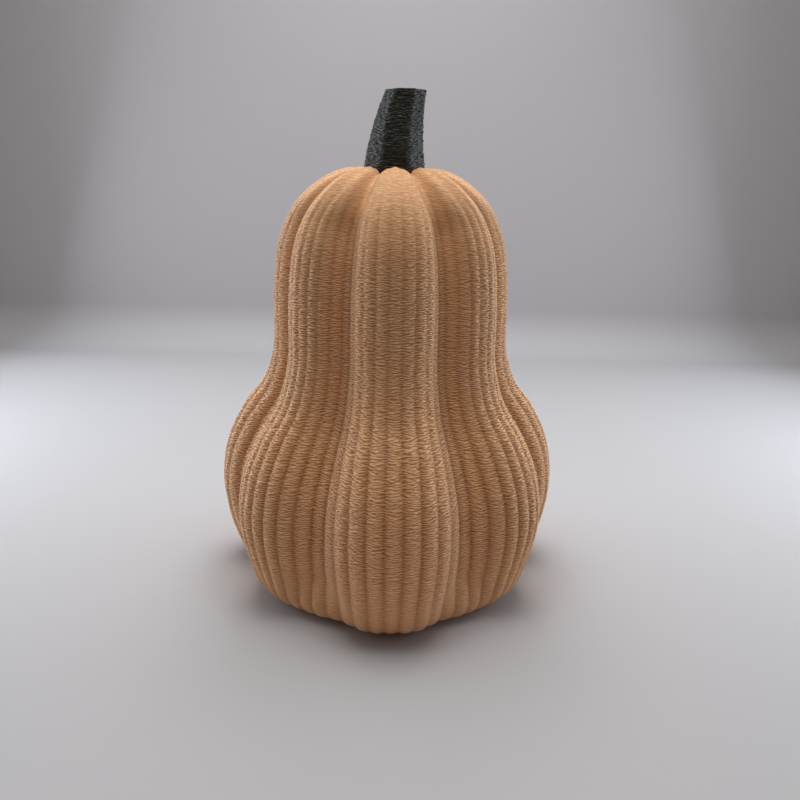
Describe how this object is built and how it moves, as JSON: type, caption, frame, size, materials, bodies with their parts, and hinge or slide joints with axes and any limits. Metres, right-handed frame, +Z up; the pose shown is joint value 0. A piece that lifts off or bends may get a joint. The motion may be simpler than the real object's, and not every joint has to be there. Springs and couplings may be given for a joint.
{
  "type": "decorative butternut squash",
  "caption": "Upright butternut squash ornament: a ribbed, lobed body on a flat base, with a bent faceted stem seated in a socket in its top.",
  "frame": {"origin": "on the body's own axis, at the flat underside that the squash stands on", "axes": "+Z up along the body's axis, -Y the front, +X the side that the stem leans to"},
  "size_m": [0.1745, 0.1691, 0.2384],
  "materials": {
    "peach_plastic": "matte peach print with a fine wavy fuzzy skin over soft vertical ribs",
    "dark_green_plastic": "matte dark grey-green print with a fine wavy fuzzy skin"
  },
  "bodies": {
    "root": {"squash_body": "peach_plastic", "stem": "dark_green_plastic"}
  },
  "joints": []
}
